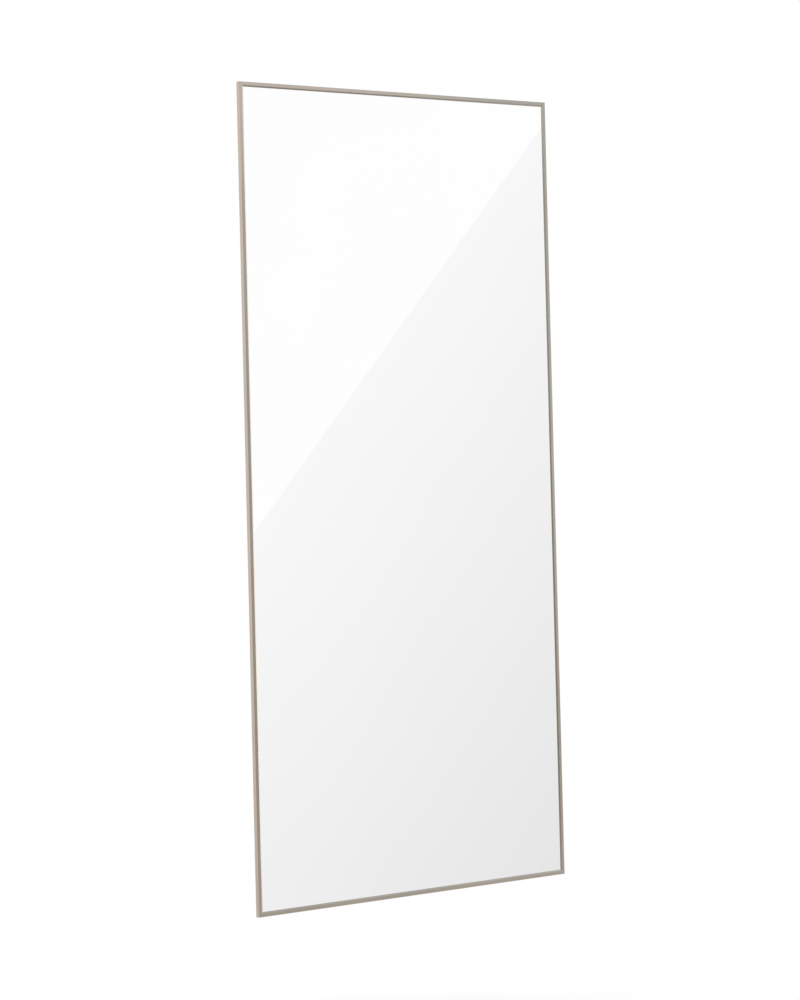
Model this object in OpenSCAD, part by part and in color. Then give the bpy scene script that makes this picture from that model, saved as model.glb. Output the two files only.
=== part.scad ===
// Slim framed wall mirror, hung upright on two ring hangers.
// X runs across the mirror, Z runs up it and Y runs back to the wall.
// The origin is the middle of the wall plane, so the whole mirror lies at Y below zero.

/* [Overall] */
// Width over the frame
mirror_w = 900; // [500:10:1200]
// Height over the frame
mirror_h = 1800; // [900:10:2200]

/* [Frame section] */
// Width of the flat front face, which is also the width of the tube behind it
face_w = 7.5; // [6.8:0.1:10]
// Width of the sloping lip inside the flat face
lip_w = 3.3; // [2.8:0.1:5]
// How far the inner edge of the lip lies behind the front face
lip_fall = 1; // [0.8:0.1:2.4]
// Thickness of the lip at its inner edge
lip_edge_t = 0.5; // [0.5:0.1:1.5]
// Thickness of the front wall of the tube
front_wall_t = 1.5; // [1.2:0.1:1.8]
// Thickness of the other walls and of the rear flange
wall_t = 1.2; // [1.1:0.1:1.5]
// Width of the rear flange inside the tube
flange_w = 11.5; // [11:0.1:16]
// Small chamfer along the outer edges of the section
edge_chamfer = 0.3; // [0.1:0.1:0.6]
// Width of the fine joint line at each mitre
mitre_gap = 0.1; // [0.06:0.02:0.2]

/* [Glass and back] */
// Thickness of the mirror glass
glass_t = 4; // [3:0.5:6]
// Thickness of the safety film on the back of the glass
film_t = 0.2; // [0.1:0.05:0.4]
// Thickness of the back panel
panel_t = 2.5; // [2:0.5:4]
// Gap between the tube and the edges of the glass and the panel
edge_gap = 1.2; // [0.8:0.1:1.6]
// Bare edge of the glass round the safety film
film_margin = 3; // [1:0.5:8]

/* [Tapes and blocks] */
// Thickness of the tape between the lip and the glass
lip_tape_t = 0.2; // [0.2:0.1:0.6]
// Width of the tape between the lip and the glass
lip_tape_w = 1.6; // [1:0.1:1.8]
// Thickness of the foam strips between the film and the panel
bond_t = 0.8; // [0.5:0.1:1.5]
// Width of one foam strip
bond_w = 20; // [12:1:30]
// Number of foam strips
bond_count = 5; // [3:1:7]
// Distance from the panel's top and bottom edges to the ends of the foam strips
bond_end = 60; // [20:5:120]
// Thickness of the gasket between the panel and the rear flange
gasket_t = 0.4; // [0.3:0.1:1]
// Width of the gasket
gasket_w = 6; // [4:0.5:8]
// Length of a setting block under the glass
block_l = 50; // [30:5:80]

/* [Corner keys] */
// Length of a corner key's legs from the corner of the tube
key_leg = 44; // [40:1:70]
// Clearance between a key and the walls of the tube
key_clear = 0.15; // [0.1:0.05:0.25]
// Distance from the outer corner to the first screw of a leg
key_screw_first = 18; // [14:1:20]
// Distance between the two screws of a leg
key_screw_step = 17; // [12:1:20]
// Radius of a corner screw's shank
key_screw_r = 1.5; // [1.25:0.25:1.5]
// Length of a corner screw below its head
key_screw_l = 7; // [5:0.5:7.5]
// Radius of a corner screw's head
key_head_r = 2.8; // [2.4:0.1:3.2]
// Height of a corner screw's head
key_head_h = 1.6; // [1.2:0.1:2]

/* [Ring hangers] */
// Height of the ring's pivot below the top of the frame
hanger_drop = 220; // [120:10:400]
// Thickness of the hanger plate
plate_t = 1.2; // [1:0.1:2]
// Width of the hanger plate
plate_w = 27; // [27:1:34]
// Length of the hanger plate below the pivot
plate_l = 36; // [34:1:50]
// Distance from the frame's outer edge to the plate
plate_inset = 0.8; // [0.4:0.1:1.5]
// Corner radius of the plate
plate_corner_r = 3; // [1:0.5:5]
// Distance of the upper screw below the pivot
hanger_screw_first = 8; // [7:0.5:9]
// Distance between the plate's two screws
hanger_screw_step = 20; // [16:1:22]
// Radius of a hanger screw's shank
hanger_screw_r = 1.6; // [1.25:0.05:1.7]
// Length of a hanger screw below its head
hanger_screw_l = 6.5; // [5:0.5:8]
// Radius of a hanger screw's head
hanger_head_r = 2.8; // [2.5:0.1:3]
// Height of a hanger screw's head
hanger_head_h = 1.8; // [1.4:0.1:2.2]
// Radius of the ring's wire
wire_r = 1.2; // [1:0.1:1.3]
// Width inside the ring
ring_inner_w = 14; // [13:0.5:15]
// Distance from the ring's pivot to the centre of its bow
ring_leg = 5; // [4.5:0.5:8]
// Length of the knuckle that the ring turns in
knuckle_l = 8; // [6:0.5:9]
// Running clearance between the wire and the knuckle
knuckle_clear = 0.1; // [0.05:0.01:0.1]
// Gap between the hanging ring and its plate
ring_gap = 0.3; // [0.2:0.1:0.6]

/* [Wall bumpers] */
// Height of a bumper, which sets how far the frame stands off the wall
bumper_h = 6; // [6:0.5:10]
// Radius of a bumper
bumper_r = 6; // [4:0.5:8]
// Chamfer round a bumper's outer edge
bumper_chamfer = 0.8; // [0.3:0.1:1.5]
// Distance from the frame's top and bottom to a bumper's centre
bumper_end = 70; // [60:5:120]
// Distance from a bumper to the flange's inner edge, which keeps it out of sight from the front
bumper_inset = 0.5; // [0.3:0.1:1]

/* [Hidden] */
$fn = 48;
// Small overrun that lets a cut pass cleanly through a wall
over = 1;
// Radial clearance of a screw in the hole that it is driven into
thread_clear = 0.05;
// Radial clearance of a screw in the plate or wall that it passes through
pass_clear = 0.2;
// Fine gap left beside a piece that isn't held tight
loose = 0.1;

// Depths, measured back from the front face
lip_back = lip_fall + lip_edge_t;
glass_front = lip_back + lip_tape_t;
glass_back = glass_front + glass_t;
film_back = glass_back + film_t;
panel_front = film_back + bond_t;
panel_back = panel_front + panel_t;
flange_front = panel_back + gasket_t;
frame_depth = flange_front + wall_t;
front_y = -(frame_depth + bumper_h);
rear_y = -bumper_h;

// Distances in from the frame's outer edge
lip_edge = face_w + lip_w;
flange_edge = face_w + flange_w;
glass_edge = face_w + edge_gap;
tube_mid = face_w / 2;
lip_tape_edge = (glass_edge + lip_edge - lip_tape_w) / 2;
gasket_edge = flange_edge - gasket_w - loose;
bumper_mid = flange_edge - bumper_inset - bumper_r;

// Cavity of the tube and the key in it
cavity_w = face_w - 2 * wall_t;
cavity_d = frame_depth - front_wall_t - wall_t;
key_w = cavity_w - 2 * key_clear;
key_d = cavity_d - 2 * key_clear;
key_rear = frame_depth - wall_t - key_clear;

// Ring hanger
knuckle_r = plate_t + ring_gap + wire_r;
knuckle_bore_r = wire_r + knuckle_clear;
bow_r = ring_inner_w / 2 + wire_r;
elbow_r = 2 * wire_r;
plate_mid = plate_inset + plate_w / 2;
ring_mid = plate_inset + plate_w - bow_r - wire_r - loose;
pivot_y = rear_y + knuckle_r;
pivot_z = mirror_h / 2 - hanger_drop;
hanger_screw_z = [-hanger_screw_first, -hanger_screw_first - hanger_screw_step];
key_screw_at = [key_screw_first, key_screw_first + key_screw_step];

champagne = [0.66, 0.61, 0.55];
zinc = [0.72, 0.73, 0.75];

// Frame members. A member is drawn along X with its outer edge at Z = 0 and its front face at Y = 0.
module frame_section() {
    difference() {
        polygon([
            [0, edge_chamfer],
            [edge_chamfer, 0],
            [face_w, 0],
            [lip_edge, lip_fall],
            [lip_edge, lip_back],
            [face_w, lip_back],
            [face_w, flange_front],
            [flange_edge, flange_front],
            [flange_edge, frame_depth],
            [edge_chamfer, frame_depth],
            [0, frame_depth - edge_chamfer]
        ]);
        translate([wall_t, front_wall_t])
            square([cavity_w, cavity_d]);
    }
}

module mitre_prism(length) {
    half = length / 2 - mitre_gap / sqrt(2);
    reach = flange_edge + over;
    translate([0, frame_depth + over, 0])
        rotate([90, 0, 0])
            linear_extrude(height = frame_depth + 2 * over)
                polygon([[-half, 0], [half, 0], [half - reach, reach], [-half + reach, reach]]);
}

module rear_hole(along, radius) {
    translate([along, frame_depth - wall_t - over, tube_mid])
        rotate([-90, 0, 0])
            cylinder(r = radius, h = wall_t + 2 * over);
}

module member(length, hanger_at = []) {
    color(champagne)
        difference() {
            intersection() {
                rotate([0, -90, 0])
                    linear_extrude(height = length, center = true)
                        frame_section();
                mitre_prism(length);
            }
            for (side = [-1, 1])
                for (at = key_screw_at)
                    rear_hole(side * (length / 2 - at), key_screw_r + pass_clear);
            for (at = hanger_at)
                rear_hole(at, hanger_screw_r + thread_clear);
        }
}

module at_bottom() {
    translate([0, front_y, -mirror_h / 2])
        children();
}

module at_top() {
    translate([0, front_y, mirror_h / 2])
        rotate([0, 180, 0])
            children();
}

module at_left() {
    translate([-mirror_w / 2, front_y, 0])
        rotate([0, 90, 0])
            children();
}

module at_right() {
    translate([mirror_w / 2, front_y, 0])
        rotate([0, -90, 0])
            children();
}

module frame_rail_top() {
    at_top()
        member(mirror_w);
}

module frame_rail_bottom() {
    at_bottom()
        member(mirror_w);
}

module frame_stile_left() {
    at_left()
        member(mirror_h, [for (z = hanger_screw_z) -(pivot_z + z)]);
}

module frame_stile_right() {
    at_right()
        member(mirror_h, [for (z = hanger_screw_z) pivot_z + z]);
}

// Corner keys and screws. A corner has its outer point at X = 0 and Z = 0 and runs to +X and +Z.
module at_corner(side, end) {
    turn = end < 0 ? (side < 0 ? 0 : -90) : (side < 0 ? 90 : 180);
    translate([side * mirror_w / 2, front_y, end * mirror_h / 2])
        rotate([0, turn, 0])
            children();
}

module key_screw_holes(radius, from, depth) {
    for (at = key_screw_at) {
        translate([at, from - depth, tube_mid])
            rotate([-90, 0, 0])
                cylinder(r = radius, h = depth + over);
        translate([tube_mid, from - depth, at])
            rotate([-90, 0, 0])
                cylinder(r = radius, h = depth + over);
    }
}

module corner_key() {
    start = wall_t + key_clear;
    color("silver")
        difference() {
            translate([start, front_wall_t + key_clear, start])
                union() {
                    cube([key_leg - start, key_d, key_w]);
                    cube([key_w, key_d, key_leg - start]);
                }
            key_screw_holes(key_screw_r + thread_clear, key_rear, key_screw_l);
        }
}

module corner_key_top_left() {
    at_corner(-1, 1)
        corner_key();
}

module corner_key_top_right() {
    at_corner(1, 1)
        corner_key();
}

module corner_key_bottom_left() {
    at_corner(-1, -1)
        corner_key();
}

module corner_key_bottom_right() {
    at_corner(1, -1)
        corner_key();
}

// A pan head screw along Y, with the underside of its head at Y = 0 and its shank at Y below zero.
module pan_screw(shank_r, shank_l, head_r, head_h) {
    rim_h = 0.5 * head_h;
    crown_r = 0.65 * head_r;
    slot_w = 0.22 * head_r;
    slot_l = 1.1 * head_r;
    slot_d = 0.5 * head_h;
    difference() {
        union() {
            rotate([90, 0, 0])
                cylinder(r = shank_r, h = shank_l);
            rotate([-90, 0, 0])
                cylinder(r = head_r, h = rim_h);
            translate([0, rim_h, 0])
                rotate([-90, 0, 0])
                    cylinder(r1 = head_r, r2 = crown_r, h = head_h - rim_h);
        }
        translate([-slot_w / 2, head_h - slot_d, -slot_l / 2])
            cube([slot_w, slot_d + over, slot_l]);
        translate([-slot_l / 2, head_h - slot_d, -slot_w / 2])
            cube([slot_l, slot_d + over, slot_w]);
    }
}

module corner_key_screws() {
    color(zinc)
        for (side = [-1, 1])
            for (end = [-1, 1])
                at_corner(side, end)
                    for (at = key_screw_at) {
                        translate([at, frame_depth, tube_mid])
                            pan_screw(key_screw_r, key_screw_l, key_head_r, key_head_h);
                        translate([tube_mid, frame_depth, at])
                            pan_screw(key_screw_r, key_screw_l, key_head_r, key_head_h);
                    }
}

// A flat layer that stands in from the frame's outer edge, between two depths.
module layer(inset, from, to) {
    translate([-mirror_w / 2 + inset, front_y + from, -mirror_h / 2 + inset])
        cube([mirror_w - 2 * inset, to - from, mirror_h - 2 * inset]);
}

module mirror_glass() {
    color([0.86, 0.89, 0.9])
        layer(glass_edge, glass_front, glass_back);
}

module safety_film() {
    color("slategray")
        layer(glass_edge + film_margin, glass_back, film_back);
}

module back_panel() {
    color("peru")
        layer(glass_edge, panel_front, panel_back);
}

// Strips along the four sides. A strip is drawn along X like a frame member.
module strip(length, edge, width, from, to) {
    translate([-length / 2, from, edge])
        cube([length, to - from, width]);
}

module lip_tape(length) {
    color("dimgray")
        strip(length, lip_tape_edge, lip_tape_w, lip_back, glass_front);
}

module lip_tape_top() {
    at_top()
        lip_tape(mirror_w - 2 * lip_tape_edge);
}

module lip_tape_bottom() {
    at_bottom()
        lip_tape(mirror_w - 2 * lip_tape_edge);
}

module lip_tape_left() {
    at_left()
        lip_tape(mirror_h - 2 * (lip_tape_edge + lip_tape_w + loose));
}

module lip_tape_right() {
    at_right()
        lip_tape(mirror_h - 2 * (lip_tape_edge + lip_tape_w + loose));
}

module rear_gasket(length) {
    color("black")
        strip(length, gasket_edge, gasket_w, panel_back, flange_front);
}

module rear_gasket_top() {
    at_top()
        rear_gasket(mirror_w - 2 * gasket_edge);
}

module rear_gasket_bottom() {
    at_bottom()
        rear_gasket(mirror_w - 2 * gasket_edge);
}

module rear_gasket_left() {
    at_left()
        rear_gasket(mirror_h - 2 * (gasket_edge + gasket_w + loose));
}

module rear_gasket_right() {
    at_right()
        rear_gasket(mirror_h - 2 * (gasket_edge + gasket_w + loose));
}

// The blocks stand on the bottom tube and carry the glass and the panel.
module setting_block(side) {
    color("white")
        translate([side * mirror_w / 4, 0, 0])
            at_bottom()
                strip(block_l, face_w, edge_gap, glass_front, panel_back);
}

module setting_block_left() {
    setting_block(-1);
}

module setting_block_right() {
    setting_block(1);
}

// Foam strips that bond the panel to the back of the glass, counted from the left.
module bond_strip(number) {
    panel_w = mirror_w - 2 * glass_edge;
    bond_h = mirror_h - 2 * (glass_edge + bond_end);
    step = panel_w / bond_count;
    color("whitesmoke")
        translate([-panel_w / 2 + (number - 0.5) * step - bond_w / 2, front_y + film_back, -bond_h / 2])
            cube([bond_w, bond_t, bond_h]);
}

module bond_strip_1() {
    bond_strip(1);
}

module bond_strip_2() {
    bond_strip(2);
}

module bond_strip_3() {
    bond_strip(3);
}

module bond_strip_4() {
    bond_strip(4);
}

module bond_strip_5() {
    bond_strip(5);
}

// Ring hangers. Side -1 is the left stile and side 1 is the right stile.
module rounded_plate() {
    straight = plate_l - 2 * plate_corner_r;
    translate([0, -plate_l / 2]) {
        square([plate_w - 2 * plate_corner_r, plate_l], center = true);
        square([plate_w, straight], center = true);
        for (x = [-1, 1])
            for (z = [-1, 1])
                translate([x * (plate_w / 2 - plate_corner_r), z * straight / 2])
                    circle(r = plate_corner_r);
    }
}

module hanger_plate(side) {
    color(zinc)
        difference() {
            union() {
                translate([side * (mirror_w / 2 - plate_mid), rear_y + plate_t, pivot_z])
                    rotate([90, 0, 0])
                        linear_extrude(height = plate_t)
                            rounded_plate();
                translate([side * (mirror_w / 2 - ring_mid), pivot_y, pivot_z])
                    rotate([0, 90, 0])
                        cylinder(r = knuckle_r, h = knuckle_l, center = true);
            }
            translate([side * (mirror_w / 2 - ring_mid), pivot_y, pivot_z])
                rotate([0, 90, 0])
                    cylinder(r = knuckle_bore_r, h = knuckle_l + 2 * over, center = true);
            for (z = hanger_screw_z)
                translate([side * (mirror_w / 2 - tube_mid), rear_y - over, pivot_z + z])
                    rotate([-90, 0, 0])
                        cylinder(r = hanger_screw_r + pass_clear, h = plate_t + 2 * over);
        }
}

module hanger_plate_left() {
    hanger_plate(-1);
}

module hanger_plate_right() {
    hanger_plate(1);
}

module wire(length) {
    cylinder(r = wire_r, h = length);
}

// The ring hangs from the straight bar that turns in the knuckle.
module hanger_ring(side) {
    bar = 2 * (bow_r - elbow_r);
    color(zinc)
        translate([side * (mirror_w / 2 - ring_mid), pivot_y, pivot_z]) {
            translate([-bar / 2, 0, 0])
                rotate([0, 90, 0])
                    wire(bar);
            for (hand = [-1, 1]) {
                translate([hand * bar / 2, 0, -elbow_r])
                    rotate([90, 0, 0])
                        rotate([0, 0, hand < 0 ? 90 : 0])
                            rotate_extrude(angle = 90)
                                translate([elbow_r, 0])
                                    circle(r = wire_r);
                translate([hand * bow_r, 0, -ring_leg])
                    wire(ring_leg - elbow_r);
            }
            translate([0, 0, -ring_leg])
                rotate([-90, 0, 0])
                    rotate_extrude(angle = 180)
                        translate([bow_r, 0])
                            circle(r = wire_r);
        }
}

module hanger_ring_left() {
    hanger_ring(-1);
}

module hanger_ring_right() {
    hanger_ring(1);
}

module hanger_screws() {
    color(zinc)
        for (side = [-1, 1])
            for (z = hanger_screw_z)
                translate([side * (mirror_w / 2 - tube_mid), rear_y + plate_t, pivot_z + z])
                    pan_screw(hanger_screw_r, hanger_screw_l, hanger_head_r, hanger_head_h);
}

// Wall bumpers, stuck to the rear of the frame.
module bumper(side, end) {
    color("dimgray")
        translate([
            side * (mirror_w / 2 - bumper_mid),
            rear_y,
            end * (mirror_h / 2 - bumper_end)
        ])
            rotate([-90, 0, 0]) {
                cylinder(r = bumper_r, h = bumper_h - bumper_chamfer);
                translate([0, 0, bumper_h - bumper_chamfer])
                    cylinder(r1 = bumper_r, r2 = bumper_r - bumper_chamfer, h = bumper_chamfer);
            }
}

module bumper_top_left() {
    bumper(-1, 1);
}

module bumper_top_right() {
    bumper(1, 1);
}

module bumper_bottom_left() {
    bumper(-1, -1);
}

module bumper_bottom_right() {
    bumper(1, -1);
}

frame_rail_top();
frame_rail_bottom();
frame_stile_left();
frame_stile_right();
corner_key_top_left();
corner_key_top_right();
corner_key_bottom_left();
corner_key_bottom_right();
corner_key_screws();
mirror_glass();
safety_film();
lip_tape_top();
lip_tape_bottom();
lip_tape_left();
lip_tape_right();
setting_block_left();
setting_block_right();
bond_strip_1();
bond_strip_2();
bond_strip_3();
bond_strip_4();
bond_strip_5();
back_panel();
rear_gasket_top();
rear_gasket_bottom();
rear_gasket_left();
rear_gasket_right();
hanger_plate_left();
hanger_plate_right();
hanger_ring_left();
hanger_ring_right();
hanger_screws();
bumper_top_left();
bumper_top_right();
bumper_bottom_left();
bumper_bottom_right();
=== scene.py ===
import math

import bmesh
import bpy
from mathutils import Matrix, Vector


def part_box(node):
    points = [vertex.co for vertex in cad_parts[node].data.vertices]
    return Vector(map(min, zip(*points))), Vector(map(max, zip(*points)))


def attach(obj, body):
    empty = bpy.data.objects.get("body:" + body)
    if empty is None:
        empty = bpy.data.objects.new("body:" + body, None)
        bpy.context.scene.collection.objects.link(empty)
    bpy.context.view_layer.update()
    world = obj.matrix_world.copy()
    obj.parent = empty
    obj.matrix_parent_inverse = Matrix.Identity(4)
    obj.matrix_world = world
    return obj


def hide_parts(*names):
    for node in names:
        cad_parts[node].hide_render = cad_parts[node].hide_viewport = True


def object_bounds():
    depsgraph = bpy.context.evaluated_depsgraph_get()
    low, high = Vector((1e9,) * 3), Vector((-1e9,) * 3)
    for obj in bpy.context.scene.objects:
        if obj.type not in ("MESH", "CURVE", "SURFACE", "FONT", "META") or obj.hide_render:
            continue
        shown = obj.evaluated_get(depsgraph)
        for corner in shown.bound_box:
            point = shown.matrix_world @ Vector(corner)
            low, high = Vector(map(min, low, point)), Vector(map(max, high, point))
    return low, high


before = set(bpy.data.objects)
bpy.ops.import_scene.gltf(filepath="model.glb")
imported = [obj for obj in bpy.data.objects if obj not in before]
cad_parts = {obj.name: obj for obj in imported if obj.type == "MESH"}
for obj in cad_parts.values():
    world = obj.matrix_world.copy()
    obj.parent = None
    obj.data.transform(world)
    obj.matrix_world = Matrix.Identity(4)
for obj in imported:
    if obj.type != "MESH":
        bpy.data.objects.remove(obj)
CAD_LOW, CAD_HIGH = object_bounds()

MM = 0.001
QUARTER = math.radians(90)
SIDES = (("left", -1), ("right", 1))

# Signs of the left and right side, or of the bottom and top end
BOTH = (-1, 1)

# Frame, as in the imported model. Widths and edges count in from its outer side.
HALF_W = CAD_HIGH.x
HALF_H = CAD_HIGH.z
FRONT_Y = CAD_LOW.y
REAR_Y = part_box("frame_stile_left")[1].y
FRAME_DEPTH = REAR_Y - FRONT_Y
FLANGE_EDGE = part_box("frame_stile_left")[1].x + HALF_W
FACE_W = 7.5 * MM
LIP_W = 3.3 * MM
LIP_FALL = 1.0 * MM
LIP_BACK = 1.5 * MM
FRONT_WALL_T = 1.5 * MM
WALL_T = 1.2 * MM
MITRE_GAP = 0.1 * MM
EDGE_R = 0.35 * MM
LIP_EDGE_R = 0.15 * MM
TUBE_MID = FACE_W / 2

# Screws: radius and height of the head, radius and length of the shank. The key screws stand at
# those distances from a corner, and the hanger screws at those heights above the ring's pivot.
KEY_SCREW = (2.8 * MM, 1.6 * MM, 1.5 * MM, 7 * MM)
KEY_SCREW_AT = (18 * MM, 35 * MM)
HANGER_SCREW = (2.8 * MM, 1.8 * MM, 1.6 * MM, 6.5 * MM)
HANGER_SCREW_Z = (-8 * MM, -28 * MM)

# Outline of a screw: shares of the shank's radius and length, then of the head's radius and height
SHANK_OUTLINE = ((0.6, 1.0), (1.0, 0.9), (1.0, 0.0))
HEAD_OUTLINE = (
    (0.97, 0.0),
    (1.0, 0.12),
    (1.0, 0.42),
    (0.96, 0.62),
    (0.88, 0.8),
    (0.77, 0.93),
    (0.64, 1.0),
)

# Cross recess: the reach and half width of its arms as shares of the head's radius, the size of
# its floor as a share of its mouth, and the floor's height as a share of the head's
RECESS_REACH = 0.55
RECESS_HALF_ARM = 0.12
RECESS_TAPER = 0.75
RECESS_FLOOR = 0.4

# Rings: the pivot, and the wire with its bow, elbows and legs
PIVOT_Z = HALF_H - 220 * MM
PIVOT_Y = REAR_Y + 2.7 * MM
RING_MID = 18.3 * MM
WIRE_R = 1.2 * MM
BOW_R = 8.2 * MM
ELBOW_R = 2.4 * MM
RING_LEG = 5 * MM
BAR_STEPS = 6

# Hanger plates: the flat sheet and the knuckle, whose roll ends at that angle from straight back
PLATE_T = 1.2 * MM
PLATE_W = 27 * MM
PLATE_L = 36 * MM
PLATE_MID = 14.3 * MM
PLATE_CORNER_R = 3 * MM
PLATE_HOLE_R = 1.8 * MM
PLATE_EASED = 0.12 * MM
KNUCKLE_R = 2.7 * MM
KNUCKLE_BORE_R = 1.4 * MM
KNUCKLE_L = 8 * MM
KNUCKLE_END = -118

# Root of the knuckle in the sheet: its depth inside both faces, and its ends measured from the pivot
TONGUE_SINK = 0.08 * MM
TONGUE_LOW = -1.2 * MM
TONGUE_HIGH = -0.2 * MM

# Wall bumpers
BUMPER_R = 6 * MM
BUMPER_H = 6 * MM
BUMPER_PAD_H = 0.8 * MM
BUMPER_END = 70 * MM
BUMPER_INSET = 0.5 * MM
BUMPER_MID = FLANGE_EDGE - BUMPER_INSET - BUMPER_R

# Outline of a bumper: shares of its radius, and heights above the frame
BUMPER_OUTLINE = (
    (0.93, 0),
    (0.93, BUMPER_PAD_H),
    (0.97, BUMPER_PAD_H),
    (1.0, BUMPER_PAD_H + 0.3 * MM),
    (1.0, BUMPER_H - 1.4 * MM),
    (0.985, BUMPER_H - 0.8 * MM),
    (0.94, BUMPER_H - 0.3 * MM),
    (0.87, BUMPER_H),
    (0.8, BUMPER_H),
    (0.7, BUMPER_H - 0.15 * MM),
    (0.3, BUMPER_H - 0.3 * MM),
)

# Points nearer than this are one point
WELD = 0.0005 * MM
MEMBER_WELD = 0.001 * MM

# Sockets of a Mix node, whose names are the same for numbers and colours
MIX_SHARE = 0
MIX_NUMBERS = (2, 3)
MIX_NUMBER = 0
MIX_COLOURS = (6, 7)
MIX_COLOUR = 2


def srgb(red, green, blue):
    """The linear colour that a shader takes, from the one on a screen, given from 0 to 255."""
    shades = []
    for value in (red / 255, green / 255, blue / 255):
        shades.append(value / 12.92 if value <= 0.04045 else ((value + 0.055) / 1.055) ** 2.4)
    return (*shades, 1.0)


def give(tree, socket, value):
    """Links another socket to an input, or sets a plain value there."""
    if isinstance(value, bpy.types.NodeSocket):
        tree.links.new(value, socket)
    else:
        socket.default_value = value


# Materials
class Finish:
    """A new material with one Principled shader, and short calls that add patterns to it."""

    # The part of a pattern's range over which it changes
    LOW = 0.3
    HIGH = 0.7

    def __init__(self, name):
        self.material = bpy.data.materials.new(name)
        self.material.use_nodes = True
        self.tree = self.material.node_tree
        self.shader = self.tree.nodes["Principled BSDF"]
        self.place = self.tree.nodes.new("ShaderNodeTexCoord").outputs["Object"]

    def feed(self, socket, value):
        """Sends a pattern, or sets a plain value, to one socket of the shader."""
        give(self.tree, self.shader.inputs[socket], value)

    def noise(self, scale, detail=3.0, stretch=(1, 1, 1)):
        """Noise with that many cells to the metre, multiplied along X, Y and Z by the stretch."""
        mapping = self.tree.nodes.new("ShaderNodeMapping")
        mapping.inputs["Scale"].default_value = stretch
        self.tree.links.new(self.place, mapping.inputs["Vector"])
        texture = self.tree.nodes.new("ShaderNodeTexNoise")
        texture.inputs["Scale"].default_value = scale
        texture.inputs["Detail"].default_value = detail
        self.tree.links.new(mapping.outputs["Vector"], texture.inputs["Vector"])
        return texture.outputs["Fac"]

    def dimples(self, scale, scatter):
        """A close pattern of small round dimples. Scatter, up to 1, moves them out of their rows."""
        texture = self.tree.nodes.new("ShaderNodeTexVoronoi")
        texture.inputs["Scale"].default_value = scale
        texture.inputs["Randomness"].default_value = scatter
        self.tree.links.new(self.place, texture.inputs["Vector"])
        return texture.outputs["Distance"]

    def spread(self, pattern, low, high):
        """A number that goes from low to high with the pattern."""
        node = self.tree.nodes.new("ShaderNodeMapRange")
        node.inputs["From Min"].default_value = self.LOW
        node.inputs["From Max"].default_value = self.HIGH
        node.inputs["To Min"].default_value = low
        node.inputs["To Max"].default_value = high
        self.tree.links.new(pattern, node.inputs["Value"])
        return node.outputs["Result"]

    def shades(self, pattern, dark, light):
        """A colour that goes from dark to light with the pattern."""
        ramp = self.tree.nodes.new("ShaderNodeValToRGB")
        stops = ((self.LOW, dark), (self.HIGH, light))
        for stop, (place, colour) in zip(ramp.color_ramp.elements, stops):
            stop.position = place
            stop.color = colour
        self.tree.links.new(pattern, ramp.inputs["Fac"])
        return ramp.outputs["Color"]

    def tinted(self, colour, tint, share):
        """One colour multiplied by another, by that share."""
        mix = self.tree.nodes.new("ShaderNodeMix")
        mix.data_type = "RGBA"
        mix.blend_type = "MULTIPLY"
        mix.inputs[MIX_SHARE].default_value = share
        for socket, shade in zip(MIX_COLOURS, (colour, tint)):
            self.tree.links.new(shade, mix.inputs[socket])
        return mix.outputs[MIX_COLOUR]

    def relief(self, pattern, depth, strength):
        """A fine relief in the surface, of that depth in metres."""
        bump = self.tree.nodes.new("ShaderNodeBump")
        bump.inputs["Distance"].default_value = depth
        bump.inputs["Strength"].default_value = strength
        self.tree.links.new(pattern, bump.inputs["Height"])
        self.tree.links.new(bump.outputs["Normal"], self.shader.inputs["Normal"])


def champagne_aluminium(name, stretch):
    """Satin champagne anodised aluminium, brushed along the length of its extrusion."""
    made = Finish(name)
    brushing = made.noise(3000, stretch=stretch)
    clouds = made.noise(7, detail=2.0)
    made.feed("Base Color", made.shades(clouds, srgb(159, 150, 142), srgb(164, 155, 147)))
    made.feed("Roughness", made.spread(brushing, low=0.23, high=0.27))
    made.relief(brushing, depth=0.004 * MM, strength=0.25)
    made.feed("Metallic", 1.0)
    return made.material


def silvered_glass():
    """Mirror glass: a perfect mirror with the faintest clouds in its tone."""
    made = Finish("silvered_glass")
    clouds = made.noise(3, detail=1.0)
    made.feed("Base Color", made.shades(clouds, (0.984, 0.986, 0.987, 1), (0.991, 0.992, 0.993, 1)))
    made.feed("Roughness", 0.0)
    made.feed("Metallic", 1.0)
    return made.material


def zinc_plating():
    """Bright zinc plated steel with soft cloudy patches."""
    made = Finish("zinc_plating")
    clouds = made.noise(300, detail=4.0)
    made.feed("Base Color", made.shades(clouds, srgb(156, 159, 164), srgb(190, 193, 197)))
    made.feed("Roughness", made.spread(clouds, low=0.24, high=0.38))
    made.relief(made.noise(4000, detail=2.0), depth=0.01 * MM, strength=0.3)
    made.feed("Metallic", 1.0)
    return made.material


def cast_alloy():
    """Matt die cast alloy of the corner keys."""
    made = Finish("cast_alloy")
    grain = made.noise(1500, detail=4.0)
    made.feed("Base Color", made.shades(grain, srgb(150, 151, 152), srgb(178, 179, 180)))
    made.feed("Roughness", made.spread(grain, low=0.45, high=0.62))
    made.relief(grain, depth=0.03 * MM, strength=0.5)
    made.feed("Metallic", 1.0)
    return made.material


def hardboard():
    """Brown hardboard: a mat of short fibres with the fine screen pattern of its rear face."""
    made = Finish("hardboard")
    fibres = made.noise(800, detail=6.0, stretch=(1.0, 1.0, 0.5))
    patches = made.noise(9)
    fibre_shades = made.shades(fibres, srgb(122, 92, 64), srgb(168, 134, 98))
    patch_shades = made.shades(patches, srgb(222, 214, 204), srgb(255, 255, 255))
    made.feed("Base Color", made.tinted(fibre_shades, patch_shades, share=0.6))
    made.feed("Roughness", made.spread(fibres, low=0.74, high=0.9))
    made.relief(made.dimples(650, scatter=0.35), depth=0.15 * MM, strength=0.5)
    return made.material


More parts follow.
